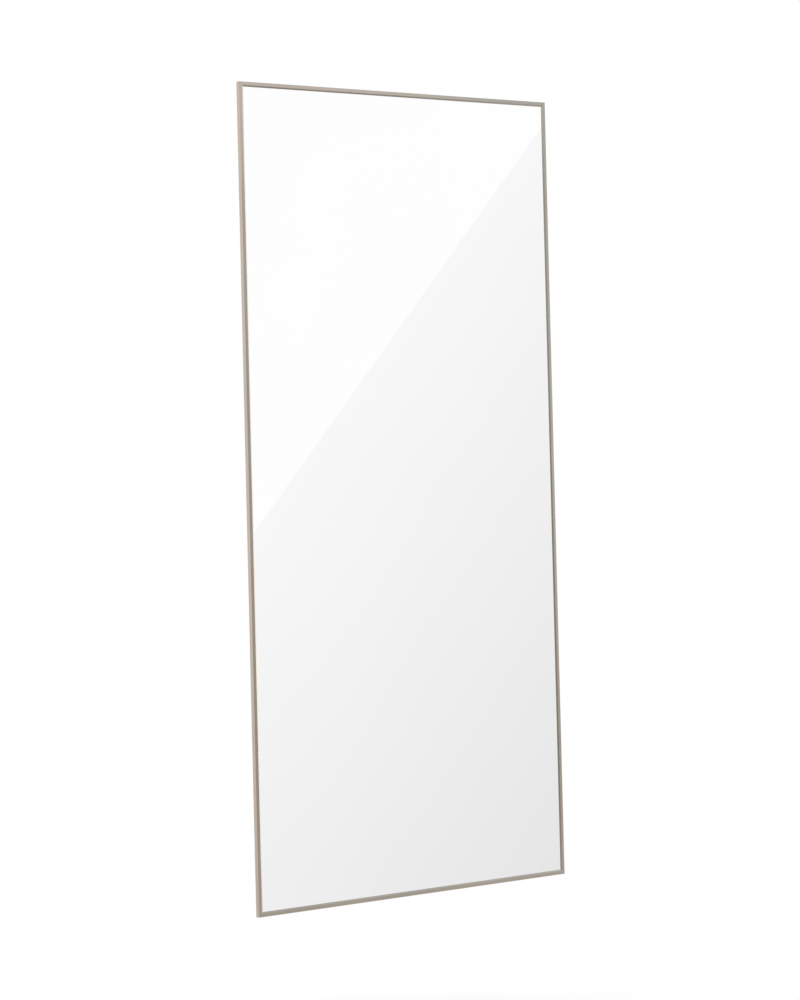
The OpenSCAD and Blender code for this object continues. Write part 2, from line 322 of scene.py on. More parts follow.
def foam(name, dark, light):
    """Closed cell foam with tiny bubbles."""
    made = Finish(name)
    bubbles = made.noise(2200, detail=4.0)
    made.feed("Base Color", made.shades(bubbles, dark, light))
    made.feed("Roughness", made.spread(bubbles, low=0.8, high=0.95))
    made.relief(bubbles, depth=0.05 * MM, strength=0.6)
    return made.material


def moulded(name, dark, light, smooth, rough):
    """Moulded plastic or rubber with a fine matt grain."""
    made = Finish(name)
    grain = made.noise(1800)
    made.feed("Base Color", made.shades(grain, dark, light))
    made.feed("Roughness", made.spread(grain, smooth, rough))
    made.relief(grain, depth=0.03 * MM, strength=0.4)
    return made.material


RAIL_METAL = champagne_aluminium("champagne_rails", stretch=(0.01, 1, 1))
STILE_METAL = champagne_aluminium("champagne_stiles", stretch=(1, 1, 0.01))
SILVERED = silvered_glass()
ZINC = zinc_plating()
ALLOY = cast_alloy()
BOARD = hardboard()
BLACK_FOAM = foam("black_foam", srgb(24, 24, 25), srgb(40, 40, 41))
WHITE_FOAM = foam("white_foam", srgb(222, 222, 218), srgb(240, 240, 236))
FILM = moulded("film_plastic", srgb(104, 110, 114), srgb(114, 120, 124), smooth=0.3, rough=0.4)
BLOCK_PLASTIC = moulded(
    "block_plastic", srgb(226, 226, 220), srgb(236, 236, 231), smooth=0.4, rough=0.55
)
RUBBER = moulded("bumper_rubber", srgb(50, 50, 51), srgb(64, 64, 65), smooth=0.5, rough=0.7)


def finish_node(node, material):
    """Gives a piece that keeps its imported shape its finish."""
    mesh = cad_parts[node].data
    mesh.materials.clear()
    mesh.materials.append(material)


def finish_packed_pieces():
    finish_node("mirror_glass", SILVERED)
    finish_node("safety_film", FILM)
    finish_node("back_panel", BOARD)
    for number in range(1, 6):
        finish_node(f"bond_strip_{number}", WHITE_FOAM)
    for side in ("top", "bottom", "left", "right"):
        finish_node("lip_tape_" + side, BLACK_FOAM)
        finish_node("rear_gasket_" + side, BLACK_FOAM)
    for side in ("left", "right"):
        finish_node("setting_block_" + side, BLOCK_PLASTIC)
        for end in ("top", "bottom"):
            finish_node(f"corner_key_{end}_{side}", ALLOY)


# Geometry Nodes
class Build:
    """A Geometry Nodes tree with named inputs, and short calls that add nodes to it."""

    KINDS = {float: "NodeSocketFloat", int: "NodeSocketInt"}

    def __init__(self, name, **inputs):
        self.tree = bpy.data.node_groups.new(name, "GeometryNodeTree")
        sockets = self.tree.interface
        sockets.new_socket("Geometry", in_out="INPUT", socket_type="NodeSocketGeometry")
        self.values = {}
        for label, value in inputs.items():
            kind = self.KINDS.get(type(value))
            if isinstance(value, bpy.types.Material):
                kind = "NodeSocketMaterial"
            if isinstance(value, bpy.types.Object):
                kind = "NodeSocketObject"
            made = sockets.new_socket(label, in_out="INPUT", socket_type=kind)
            self.values[made.identifier] = value
        sockets.new_socket("Geometry", in_out="OUTPUT", socket_type="NodeSocketGeometry")
        self.given = self.tree.nodes.new("NodeGroupInput").outputs
        self.result = self.tree.nodes.new("NodeGroupOutput").inputs["Geometry"]

    def add(self, kind, takes=None, **settings):
        """Adds a node. Each of its inputs takes a socket, a list of sockets or a plain value."""
        node = self.tree.nodes.new(kind)
        for name, value in settings.items():
            setattr(node, name, value)
        for name, value in (takes or {}).items():
            several = value if isinstance(value, list) else [value]
            for one in several:
                give(self.tree, node.inputs[name], one)
        return node.outputs

    def maths(self, operation, first, second=0.0):
        return self.add("ShaderNodeMath", {0: first, 1: second}, operation=operation)["Value"]

    def along_x(self, length):
        return self.add("ShaderNodeCombineXYZ", {"X": length})["Vector"]

    def end(self, geometry):
        real = self.add("GeometryNodeRealizeInstances", {"Geometry": geometry})["Geometry"]
        takes = {"Geometry": real, "Material": self.given["Material"]}
        self.tree.links.new(self.add("GeometryNodeSetMaterial", takes)["Geometry"], self.result)

    def made_from(self, mesh):
        """Runs the tree on a mesh and returns the result as a plain mesh."""
        carrier = add_object("carrier", mesh)
        modifier = carrier.modifiers.new("build", "NODES")
        modifier.node_group = self.tree
        for identifier, value in self.values.items():
            modifier[identifier] = value
        shown = carrier.evaluated_get(bpy.context.evaluated_depsgraph_get())
        made = bpy.data.meshes.new_from_object(shown)
        bpy.data.objects.remove(carrier)
        return made


# Meshes and pieces
def add_object(name, data):
    made = bpy.data.objects.new(name, data)
    bpy.context.scene.collection.objects.link(made)
    return made


def add_piece(name, mesh, material, slot, body, *nodes, crease=30):
    """A finished piece. Nodes are those that it stands for, body is the one that it rides, and
    edges that turn by more than the crease, in degrees, stay sharp."""
    tidy = bmesh.new()
    tidy.from_mesh(mesh)
    bmesh.ops.remove_doubles(tidy, verts=tidy.verts, dist=WELD)
    bmesh.ops.recalc_face_normals(tidy, faces=tidy.faces)
    tidy.to_mesh(mesh)
    tidy.free()
    mesh.materials.clear()
    mesh.materials.append(material)
    mesh.shade_smooth()
    mesh.set_sharp_from_angle(angle=math.radians(crease))
    piece = add_object(name, mesh)
    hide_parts(*nodes)
    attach(piece, body)
    return piece


def flat_faces(piece):
    """Keeps broad faces flat to the eye up to the small rounded edges beside them."""
    flat = piece.modifiers.new("flat_faces", "WEIGHTED_NORMAL")
    flat.keep_sharp = True


def fill(solid, edges):
    """Closes a flat outline, which may have holes in it, with faces."""
    bmesh.ops.triangle_fill(solid, use_beauty=True, use_dissolve=False, edges=edges)


def mesh_from(solid, name):
    """Ends a bmesh and returns it as a mesh."""
    mesh = bpy.data.meshes.new(name)
    solid.to_mesh(mesh)
    solid.free()
    return mesh


def outline_mesh(loops, place):
    """A flat face. The first loop is its outline and the others are holes in it."""
    flat = bmesh.new()
    edges = []
    for loop in loops:
        corners = [flat.verts.new(place(*point)) for point in loop]
        edges += [flat.edges.new((corners[i - 1], corners[i])) for i in range(len(corners))]
    fill(flat, edges)
    return mesh_from(flat, "outline")


def add_prism(solid, loops, near, far):
    """Adds a solid to a bmesh: flat ends with holes, and straight walls between them."""
    edges_near = []
    edges_far = []
    for loop in loops:
        front = [solid.verts.new(near(*point)) for point in loop]
        back = [solid.verts.new(far(*point)) for point in loop]
        for i in range(len(loop)):
            solid.faces.new((front[i - 1], front[i], back[i], back[i - 1]))
            edges_near.append(solid.edges.get((front[i - 1], front[i])))
            edges_far.append(solid.edges.get((back[i - 1], back[i])))
    fill(solid, edges_near)
    fill(solid, edges_far)


def rounded(corners, steps=4):
    """A closed outline through (x, y, radius) corners. A radius above zero rounds its corner."""
    points = []
    for i, (x, y, radius) in enumerate(corners):
        corner = Vector((x, y))
        if radius == 0:
            points.append((x, y))
            continue
        back = (Vector(corners[i - 1][:2]) - corner).normalized()
        ahead = (Vector(corners[(i + 1) % len(corners)][:2]) - corner).normalized()
        half = back.angle(ahead) / 2
        centre = corner + (back + ahead).normalized() * (radius / math.sin(half))
        start = math.atan2(*(corner + back * radius / math.tan(half) - centre).yx)
        finish = math.atan2(*(corner + ahead * radius / math.tan(half) - centre).yx)
        sweep = (finish - start + math.pi) % (2 * math.pi) - math.pi
        for step in range(steps + 1):
            turn = start + sweep * step / steps
            across = centre.x + radius * math.cos(turn)
            along = centre.y + radius * math.sin(turn)
            points.append((across, along))
    return points


def arc(centre_x, centre_y, radius, start, finish, steps):
    """Points on an arc, from one angle to another, both in degrees."""
    points = []
    for step in range(steps + 1):
        turn = math.radians(start + (finish - start) * step / steps)
        points.append((centre_x + radius * math.cos(turn), centre_y + radius * math.sin(turn)))
    return points


def circle(centre_x, centre_y, radius, steps=32):
    return arc(centre_x, centre_y, radius, 0, 360, steps)[:-1]


# Frame members
def frame_section():
    """The extrusion's section, from points of (distance in from the outer edge, depth)."""
    lip_edge = FACE_W + LIP_W
    flange_front = FRAME_DEPTH - WALL_T
    outside = rounded([
        (0, 0, EDGE_R),
        (FACE_W, 0, EDGE_R),
        (lip_edge, LIP_FALL, LIP_EDGE_R),
        (lip_edge, LIP_BACK, LIP_EDGE_R),
        (FACE_W, LIP_BACK, 0),
        (FACE_W, flange_front, 0),
        (FLANGE_EDGE, flange_front, LIP_EDGE_R),
        (FLANGE_EDGE, FRAME_DEPTH, LIP_EDGE_R),
        (0, FRAME_DEPTH, EDGE_R),
    ])
    hollow = rounded([
        (WALL_T, FRONT_WALL_T, LIP_EDGE_R),
        (FACE_W - WALL_T, FRONT_WALL_T, LIP_EDGE_R),
        (FACE_W - WALL_T, flange_front, LIP_EDGE_R),
        (WALL_T, flange_front, LIP_EDGE_R),
    ])
    return outline_mesh((outside, hollow), lambda inward, depth: (0, depth, inward))


def member_build(length, material):
    """Draws the section out along X and cuts both ends to a mitre, with the outer edge at Z = 0."""
    joint = MITRE_GAP / math.sqrt(2)
    build = Build("mitred_member", Length=length, Joint=joint, Material=material)
    half = build.maths("MULTIPLY", build.given["Length"], -0.5)
    start = build.add("GeometryNodeSetPosition", {
        "Geometry": build.given["Geometry"],
        "Offset": build.along_x(half),
    })["Geometry"]
    drawn = build.add("GeometryNodeExtrudeMesh", {
        "Mesh": start,
        "Offset": build.along_x(build.given["Length"]),
        "Offset Scale": 1.0,
        "Individual": False,
    }, mode="FACES")["Mesh"]
    joined = build.add("GeometryNodeJoinGeometry", {"Geometry": [drawn, start]})["Geometry"]
    closed = build.add("GeometryNodeMergeByDistance", {
        "Geometry": joined,
        "Distance": MEMBER_WELD,
    })["Geometry"]
    position = build.add("GeometryNodeInputPosition")["Position"]
    place = build.add("ShaderNodeSeparateXYZ", {"Vector": position})
    inward = build.maths("ADD", place["Z"], build.given["Joint"])
    to_middle = build.maths("MULTIPLY", build.maths("SIGN", place["X"]), -1.0)
    build.end(build.add("GeometryNodeSetPosition", {
        "Geometry": closed,
        "Offset": build.along_x(build.maths("MULTIPLY", inward, to_middle)),
    })["Geometry"])
    return build


def make_member(name, node, length, material, turn, place):
    """A rail or stile, turned about Y by degrees, with its outer front edge's middle at a place."""
    mesh = member_build(length, material).made_from(frame_section())
    mesh.transform(Matrix.Translation(place) @ Matrix.Rotation(math.radians(turn), 4, "Y"))
    flat_faces(add_piece(name, mesh, material, "frame_metal", "mirror", node))


def make_frame():
    width = 2 * HALF_W
    height = 2 * HALF_H
    make_member("bottom_rail", "frame_rail_bottom", width, RAIL_METAL, 0, (0, FRONT_Y, -HALF_H))
    make_member("top_rail", "frame_rail_top", width, RAIL_METAL, 180, (0, FRONT_Y, HALF_H))
    make_member("left_stile", "frame_stile_left", height, STILE_METAL, 90, (-HALF_W, FRONT_Y, 0))
    make_member("right_stile", "frame_stile_right", height, STILE_METAL, -90, (HALF_W, FRONT_Y, 0))


# Screws and bumpers
def turned_solid(profile, sides=32):
    """A turned bmesh about Z, from a profile of (radius, height) whose two ends are closed flat."""
    solid = bmesh.new()
    rings = []
    for radius, height in profile:
        rings.append([solid.verts.new((x, y, height)) for x, y in circle(0, 0, radius, sides)])
    for low, high in zip(rings, rings[1:]):
        for i in range(sides):
            solid.faces.new((low[i - 1], low[i], high[i], high[i - 1]))
    solid.faces.new(rings[0][::-1])
    solid.faces.new(rings[-1])
    return solid


def cross_outline(reach, half_arm):
    """The outline of a cross recess, point by point round its four arms."""
    corners = []
    for quarter in range(4):
        turn = Matrix.Rotation(quarter * QUARTER, 2)
        for point in ((reach, -half_arm), (reach, half_arm), (half_arm, half_arm)):
            corners.append(tuple(turn @ Vector(point)))
    return corners


def screw_mesh(head_r, head_h, shank_r, shank_l):
    """A pan head screw with a cross recess. Its head stands up along Z from Z = 0."""
    profile = [(shank_r * radius, -shank_l * depth) for radius, depth in SHANK_OUTLINE]
    profile += [(head_r * radius, head_h * height) for radius, height in HEAD_OUTLINE]
    solid = turned_solid(profile)
    crown = max(solid.faces, key=lambda face: face.calc_center_median().z)
    rim = list(crown.edges)
    solid.faces.remove(crown)
    mouth = cross_outline(head_r * RECESS_REACH, head_r * RECESS_HALF_ARM)
    floor = [(x * RECESS_TAPER, y * RECESS_TAPER) for x, y in mouth]
    top = [solid.verts.new((x, y, head_h)) for x, y in mouth]
    low = [solid.verts.new((x, y, head_h * RECESS_FLOOR)) for x, y in floor]
    for i in range(len(top)):
        solid.faces.new((top[i - 1], top[i], low[i], low[i - 1]))
    mouth_edges = [solid.edges.get((top[i - 1], top[i])) for i in range(len(top))]
    fill(solid, rim + mouth_edges)
    solid.faces.new(low)
    return mesh_from(solid, "screw")


def repeat_towards_wall(name, single, places, material, seed):
    """Copies of one turned piece, pointing to the wall and twisted about their axes by chance."""
    pattern = add_object(name + "_pattern", single)
    build = Build(name + "_build", Pattern=pattern, Seed=seed, Material=material)
    twist = build.add("FunctionNodeRandomValue", {
        0: (-QUARTER, 0.0, 0.0),
        1: (-QUARTER, math.pi, 0.0),
        "Seed": build.given["Seed"],
    }, data_type="FLOAT_VECTOR")["Value"]
    shape = build.add("GeometryNodeObjectInfo", {"Object": build.given["Pattern"]})["Geometry"]
    build.end(build.add("GeometryNodeInstanceOnPoints", {
        "Points": build.given["Geometry"],
        "Instance": shape,
        "Rotation": twist,
    })["Instances"])
    points = bpy.data.meshes.new(name + "_points")
    points.from_pydata(places, [], [])
    mesh = build.made_from(points)
    bpy.data.objects.remove(pattern)
    return mesh


def make_corner_screws():
    places = []
    for side in BOTH:
        for end in BOTH:
            for at in KEY_SCREW_AT:
                places.append((side * (HALF_W - at), REAR_Y, end * (HALF_H - TUBE_MID)))
                places.append((side * (HALF_W - TUBE_MID), REAR_Y, end * (HALF_H - at)))
    mesh = repeat_towards_wall("corner_screws", screw_mesh(*KEY_SCREW), places, ZINC, seed=3)
    add_piece("corner_screws", mesh, ZINC, "zinc_steel", "mirror", "corner_key_screws")


def make_hanger_screws():
    places = []
    for side in BOTH:
        for drop in HANGER_SCREW_Z:
            places.append((side * (HALF_W - TUBE_MID), REAR_Y + PLATE_T, PIVOT_Z + drop))
    mesh = repeat_towards_wall("hanger_screws", screw_mesh(*HANGER_SCREW), places, ZINC, seed=8)
    add_piece("plate_screws", mesh, ZINC, "zinc_steel", "mirror", "hanger_screws")


def make_bumpers():
    """Rubber bumpers on thin adhesive pads, with a rounded shoulder and a slightly hollow face."""
    profile = [(BUMPER_R * share, height) for share, height in BUMPER_OUTLINE]
    single = mesh_from(turned_solid(profile, sides=48), "bumper")
    places = []
    for side in BOTH:
        for end in BOTH:
            places.append((side * (HALF_W - BUMPER_MID), REAR_Y, end * (HALF_H - BUMPER_END)))
    mesh = repeat_towards_wall("bumpers", single, places, RUBBER, seed=5)
    nodes = [f"bumper_{end}_{side}" for end in ("top", "bottom") for side in ("left", "right")]
    add_piece("wall_bumpers", mesh, RUBBER, "bumper_rubber", "mirror", *nodes)


# Ring hangers
def add_plate_sheet(solid, hand):
    """The flat of a hanger plate, with rounded corners and its two screw holes."""
    mid = hand * (HALF_W - PLATE_MID)
    half = PLATE_W / 2
    stile_mid = hand * (HALF_W - TUBE_MID)
    sheet = rounded([
        (mid - half, PIVOT_Z - PLATE_L, PLATE_CORNER_R),
        (mid + half, PIVOT_Z - PLATE_L, PLATE_CORNER_R),
        (mid + half, PIVOT_Z, PLATE_CORNER_R),
        (mid - half, PIVOT_Z, PLATE_CORNER_R),
    ], steps=8)
    holes = []
    for drop in HANGER_SCREW_Z:
        holes.append(circle(stile_mid, PIVOT_Z + drop, PLATE_HOLE_R, steps=24))
    add_prism(
        solid,
        [sheet, *holes],
        lambda x, z: (x, REAR_Y, z),
        lambda x, z: (x, REAR_Y + PLATE_T, z),
    )


def add_plate_tongue(solid, hand):
    """The tongue of a hanger plate, rolled into a knuckle round the ring's wire."""
    rear = PLATE_T - TONGUE_SINK
    tongue = [(TONGUE_SINK, TONGUE_LOW), (TONGUE_SINK, TONGUE_HIGH)]
    tongue += arc(KNUCKLE_R, 0, KNUCKLE_R, 180, KNUCKLE_END, steps=40)
    tongue += arc(KNUCKLE_R, 0, KNUCKLE_BORE_R, KNUCKLE_END, 180, steps=32)
    tongue += [(rear, TONGUE_HIGH), (rear, TONGUE_LOW)]
    ring_mid = hand * (HALF_W - RING_MID)
    left = ring_mid - KNUCKLE_L / 2
    right = ring_mid + KNUCKLE_L / 2
    add_prism(
        solid,
        [tongue],
        lambda y, z: (left, REAR_Y + y, PIVOT_Z + z),
        lambda y, z: (right, REAR_Y + y, PIVOT_Z + z),
    )


def make_hanger_plate(side, hand):
    """A stamped plate whose edges are eased by the press."""
    solid = bmesh.new()
    add_plate_sheet(solid, hand)
    add_plate_tongue(solid, hand)
    mesh = mesh_from(solid, "plate")
    node = f"hanger_plate_{side}"
    piece = add_piece(f"ring_plate_{side}", mesh, ZINC, "zinc_steel", "mirror", node)
    eased = piece.modifiers.new("eased_edges", "BEVEL")
    eased.width = PLATE_EASED
    eased.segments = 2
    eased.limit_method = "ANGLE"
    eased.angle_limit = math.radians(40)
    flat_faces(piece)


def ring_path():
    """The centre line of the wire in the ring's own plane: bar, elbows, legs and bow."""
    bar = BOW_R - ELBOW_R
    points = [(step * bar / BAR_STEPS, 0) for step in range(1 - BAR_STEPS, BAR_STEPS)]
    points += arc(bar, -ELBOW_R, ELBOW_R, 90, 0, steps=8)
    points += arc(0, -RING_LEG, BOW_R, 0, -180, steps=36)
    points += arc(-bar, -ELBOW_R, ELBOW_R, 180, 90, steps=8)
    return points


def make_ring(side, hand):
    """A closed ring of round wire, drawn along its centre line."""
    mid = hand * (HALF_W - RING_MID)
    points = [(mid + x, PIVOT_Y, PIVOT_Z + z) for x, z in ring_path()]
    edges = [(i - 1, i) for i in range(1, len(points))] + [(len(points) - 1, 0)]
    line = bpy.data.meshes.new("ring_line")
    line.from_pydata(points, edges, [])
    build = Build("wire_ring", Wire=WIRE_R, Sides=20, Material=ZINC)
    curve = build.add("GeometryNodeMeshToCurve", {"Mesh": build.given["Geometry"]})["Curve"]
    profile = build.add("GeometryNodeCurvePrimitiveCircle", {
        "Resolution": build.given["Sides"],
        "Radius": build.given["Wire"],
    })["Curve"]
    takes = {"Curve": curve, "Profile Curve": profile}
    build.end(build.add("GeometryNodeCurveToMesh", takes)["Mesh"])
    mesh = build.made_from(line)
    body = f"ring_{side}"
    node = f"hanger_ring_{side}"
    add_piece(f"wire_ring_{side}", mesh, ZINC, "zinc_steel", body, node, crease=60)


def make_hangers():
    for side, hand in SIDES:
        make_hanger_plate(side, hand)
        make_ring(side, hand)


# Studio: light and floor tones
WORLD_LIGHT = 0.72
FLOOR_Z = -1.35
FLOOR_HALF = 9.0
FLOOR_TONE = (0.95, 0.95, 0.95, 1)
WHITE = (1.0, 1.0, 1.0, 1.0)
WARM = (1.035, 1.0, 0.955, 1.0)
COOL = (0.965, 1.0, 1.01, 1.0)
GREENER = (0.84, 1.0, 0.99, 1.0)

# Directions in which the room is lighter, darker or tinted
FRONT = (0.237, -0.949, -0.208)
FRONT_LEFT = (-0.342, -0.94, 0.0)
FRONT_RIGHT = (0.75, -0.63, 0.208)
BACK_LEFT = (-0.669, 0.743, 0)

# Soft changes over the room. Each is where it starts and where it ends, as a direction's height,
# its depth or how near it is to one of those four, and the strength or share before and after.
GLASS_AHEAD = (0.55, 0.78, 1.0, 0.84)
GLASS_LOW_SHARE = (0.55, 0.78, 0.0, 1.0)
GLASS_LOW = (-0.2, 0.1, 0.9, 1.0)
METAL_AHEAD = (0.945, 0.990, 1.0, 0.27)
METAL_OVERHEAD = (0.148, 0.225, 1.0, 1.2)
METAL_BEHIND = (0.85, 0.955, 1.0, 1.55)
METAL_LOW = (-0.05, 0.02, 1.25, 1.0)
COOL_ABOVE = (-0.14, 0.12, 0.0, 1.0)
COOL_AHEAD = (-0.1, 0.3, 1.0, 0.25)
GREENER_RIGHT = (0.965, 0.988, 0.0, 1.0)

# The same over the floor: by distance from the middle; then painted shade and light in the glow
# that metal shows, by distance from a dark patch, by depth, and towards the back left
SHADOW_TO_PLAIN = (0.7, 1.5, 0.25, 1.0)
PATCH_AT = (1.1, -4.2, FLOOR_Z)
FLOOR_PATCH = (0.5, 1.6, 0.45, 1.0)
FLOOR_AHEAD = (-5.0, -2.3, 0.4, 1.0)
FLOOR_BEHIND = (0.8, 2.2, 1.1, 1.3)

# Glowing cards, which give painted reflections: ways that they face, and the place and outline of
# the slanting card and of the high one. The slanting card fades over that distance from its left
# edge.
ACROSS = (1, 0, 0)
BACKWARD = (0, 1, 0)
UPWARD = (0, 0, 1)
SLANTING_AT = (1.1848, -1.4, 0.4579)
SLANTING_X = (0.7226, 0, -0.6912)
SLANTING_Y = (-0.6912, 0, -0.7226)
SLANTING_OUTLINE = ((0, -0.825), (0, 0.947), (0.694, 1.672), (1.579, 0.826))
SLANTING_FADE = 1.46
HIGH_AT = (0.15, -1.0, 1.25)
HIGH_OUTLINE = ((-0.55, -0.46), (0.16, -0.46), (0.3, -0.36), (0.95, -0.3), (0.95, 0.4), (-0.55, 0.4))

# Lamps: name, place, size and power
LAMPS = (
    ("lamp_front", (-2.2, -2.6, 2.2), 2.0, 36),
    ("lamp_right", (2.8, -1.2, 1.6), 2.0, 16),
    ("lamp_rear", (-1.6, 3.2, 2.0), 2.4, 40),
)

# Camera: its place, and in degrees how far it turns to the right, looks up and leans
CAMERA_AT = (-4.66438, -5.47745, 0.09697)
CAMERA_YAW = 40.4486
CAMERA_PITCH = 1.1283
CAMERA_ROLL = -1.4298


def maths(tree, operation, first, second):
    """One sum of two numbers. Each is a socket or a plain value."""
    node = tree.nodes.new("ShaderNodeMath")
    node.operation = operation
    for socket, value in zip(node.inputs, (first, second)):
        give(tree, socket, value)
    return node.outputs["Value"]


def vector_maths(tree, operation, *vectors):
    """One sum of a vector, alone or with a second one."""
    node = tree.nodes.new("ShaderNodeVectorMath")
    node.operation = operation
    for socket, vector in zip(node.inputs, vectors):
        give(tree, socket, vector)
    return node.outputs


def light_share(tree, *rays):
    """1 for those kinds of ray and 0 for the others."""
    path = tree.nodes.new("ShaderNodeLightPath")
    total = path.outputs[rays[0]]
    for ray in rays[1:]:
        total = maths(tree, "MAXIMUM", total, path.outputs[ray])
    return total


def blend_numbers(tree, share, first, second):
    """A number between two others. Each is a socket or a plain value."""
    mix = tree.nodes.new("ShaderNodeMix")
    give(tree, mix.inputs[MIX_SHARE], share)
    for socket, value in zip(MIX_NUMBERS, (first, second)):
        give(tree, mix.inputs[socket], value)
    return mix.outputs[MIX_NUMBER]


def blend_colours(tree, share, first, second):
    """A colour between two others. Each is a socket or a plain colour."""
    mix = tree.nodes.new("ShaderNodeMix")
    mix.data_type = "RGBA"
    give(tree, mix.inputs[MIX_SHARE], share)
    for socket, value in zip(MIX_COLOURS, (first, second)):
        give(tree, mix.inputs[socket], value)
    return mix.outputs[MIX_COLOUR]


def blend_shaders(tree, share, first, second):
    """A shader between two others."""
    mix = tree.nodes.new("ShaderNodeMixShader")
    for socket, value in zip(mix.inputs, (share, first, second)):
        give(tree, socket, value)
    return mix.outputs["Shader"]


def ramp_between(tree, value, start, finish, low, high):
    """A smooth change from low to high while a value goes from start to finish."""
    node = tree.nodes.new("ShaderNodeMapRange")
    node.interpolation_type = "SMOOTHSTEP"
    node.inputs["From Min"].default_value = start
    node.inputs["From Max"].default_value = finish
    node.inputs["To Min"].default_value = low
    node.inputs["To Max"].default_value = high
    tree.links.new(value, node.inputs["Value"])
    return node.outputs["Result"]


def how_near(tree, direction, aim):
    """1 where the direction is the aim's own, and less the further it turns away."""
    return vector_maths(tree, "DOT_PRODUCT", direction, Vector(aim).normalized())["Value"]


def glass_room(tree, direction, parts):
    """What the glass shows: white, but dimmer at the front left, most of all low down there."""
    near = how_near(tree, direction, FRONT_LEFT)
    ahead = ramp_between(tree, near, *GLASS_AHEAD)
    low = ramp_between(tree, parts.outputs["Z"], *GLASS_LOW)
    share = ramp_between(tree, near, *GLASS_LOW_SHARE)
    return maths(tree, "MULTIPLY", ahead, blend_numbers(tree, share, 1.0, low))


def metal_room(tree, direction, parts):
    """What metal shows: darker in front, and lighter overhead, low down and at the back left."""
    ahead = ramp_between(tree, how_near(tree, direction, FRONT), *METAL_AHEAD)
    overhead = ramp_between(tree, parts.outputs["Z"], *METAL_OVERHEAD)
    behind = ramp_between(tree, how_near(tree, direction, BACK_LEFT), *METAL_BEHIND)
    low = ramp_between(tree, parts.outputs["Z"], *METAL_LOW)
    around = maths(tree, "MAXIMUM", overhead, maths(tree, "MAXIMUM", behind, low))
    return maths(tree, "MULTIPLY", ahead, around)


def metal_tint(tree, direction, parts):
    """The colour of that light: warm low down and behind, cool above, greener at the front right."""
    above = ramp_between(tree, parts.outputs["Z"], *COOL_ABOVE)
    ahead = ramp_between(tree, parts.outputs["Y"], *COOL_AHEAD)
    cool = maths(tree, "MULTIPLY", above, ahead)
    right = ramp_between(tree, how_near(tree, direction, FRONT_RIGHT), *GREENER_RIGHT)
    return blend_colours(tree, right, blend_colours(tree, cool, WARM, COOL), GREENER)


def make_world():
    """A white room. The sharp mirror and the satin metal each show it in their own light."""
    world = bpy.data.worlds.new("studio")
    bpy.context.scene.world = world
    world.use_nodes = True
    tree = world.node_tree
    background = tree.nodes["Background"]
    direction = tree.nodes.new("ShaderNodeTexCoord").outputs["Generated"]
    parts = tree.nodes.new("ShaderNodeSeparateXYZ")
    tree.links.new(direction, parts.inputs["Vector"])
    sharp = light_share(tree, "Is Singular Ray")
    glossy = light_share(tree, "Is Glossy Ray")
    metal = metal_room(tree, direction, parts)
    room = blend_numbers(tree, sharp, metal, glass_room(tree, direction, parts))
    mirrored = light_share(tree, "Is Glossy Ray", "Is Transmission Ray")
    shown = blend_numbers(tree, mirrored, 1.0, room)
    seen = light_share(tree, "Is Camera Ray", "Is Glossy Ray", "Is Transmission Ray")
    give(tree, background.inputs["Strength"], blend_numbers(tree, seen, WORLD_LIGHT, shown))
    satin = maths(tree, "SUBTRACT", glossy, sharp)
    colour = blend_colours(tree, satin, WHITE, metal_tint(tree, direction, parts))
    give(tree, background.inputs["Color"], colour)


def painted_floor_light(tree, place):
    """The floor's glow for metal, with painted shade in front and painted light at the back left."""
    parts = tree.nodes.new("ShaderNodeSeparateXYZ")
    tree.links.new(place, parts.inputs["Vector"])
    ahead = ramp_between(tree, parts.outputs["Y"], *FLOOR_AHEAD)
    from_patch = vector_maths(tree, "DISTANCE", place, PATCH_AT)["Value"]
    patch = ramp_between(tree, from_patch, *FLOOR_PATCH)
    to_back_left = vector_maths(tree, "DOT_PRODUCT", place, BACK_LEFT)["Value"]
    behind = ramp_between(tree, to_back_left, *FLOOR_BEHIND)
    return maths(tree, "MULTIPLY", maths(tree, "MULTIPLY", ahead, patch), behind)


def pale_floor():
    """A pale finish that keeps the shadow near the middle and turns to plain white further out.
    It is clear from below, and to the sharp mirror."""
    material = bpy.data.materials.new("pale_floor")
    material.use_nodes = True
    tree = material.node_tree
    shader = tree.nodes["Principled BSDF"]
    shader.inputs["Base Color"].default_value = FLOOR_TONE
    shader.inputs["Roughness"].default_value = 0.9
    shader.inputs["Specular IOR Level"].default_value = 0.0
    place = tree.nodes.new("ShaderNodeTexCoord").outputs["Object"]
    camera = light_share(tree, "Is Camera Ray")
    # The glow: plain white to the camera; to metal, warm, with painted shade and light.
    glow = tree.nodes.new("ShaderNodeEmission")
    strength = blend_numbers(tree, camera, painted_floor_light(tree, place), 1.0)
    give(tree, glow.inputs["Strength"], strength)
    give(tree, glow.inputs["Color"], blend_colours(tree, camera, WARM, WHITE))
    flat = vector_maths(tree, "MULTIPLY", place, (1, 1, 0))["Vector"]
    away = vector_maths(tree, "LENGTH", flat)["Value"]
    seen = light_share(tree, "Is Camera Ray", "Is Glossy Ray", "Is Transmission Ray")
    plain = blend_numbers(tree, seen, 0.0, ramp_between(tree, away, *SHADOW_TO_PLAIN))
    shown = blend_shaders(tree, plain, shader.outputs["BSDF"], glow.outputs["Emission"])
    clear = tree.nodes.new("ShaderNodeBsdfTransparent").outputs["BSDF"]
    under = tree.nodes.new("ShaderNodeNewGeometry").outputs["Backfacing"]
    unseen = maths(tree, "MAXIMUM", under, light_share(tree, "Is Singular Ray"))
    surface = blend_shaders(tree, unseen, shown, clear)
    tree.links.new(surface, tree.nodes["Material Output"].inputs["Surface"])
    return material


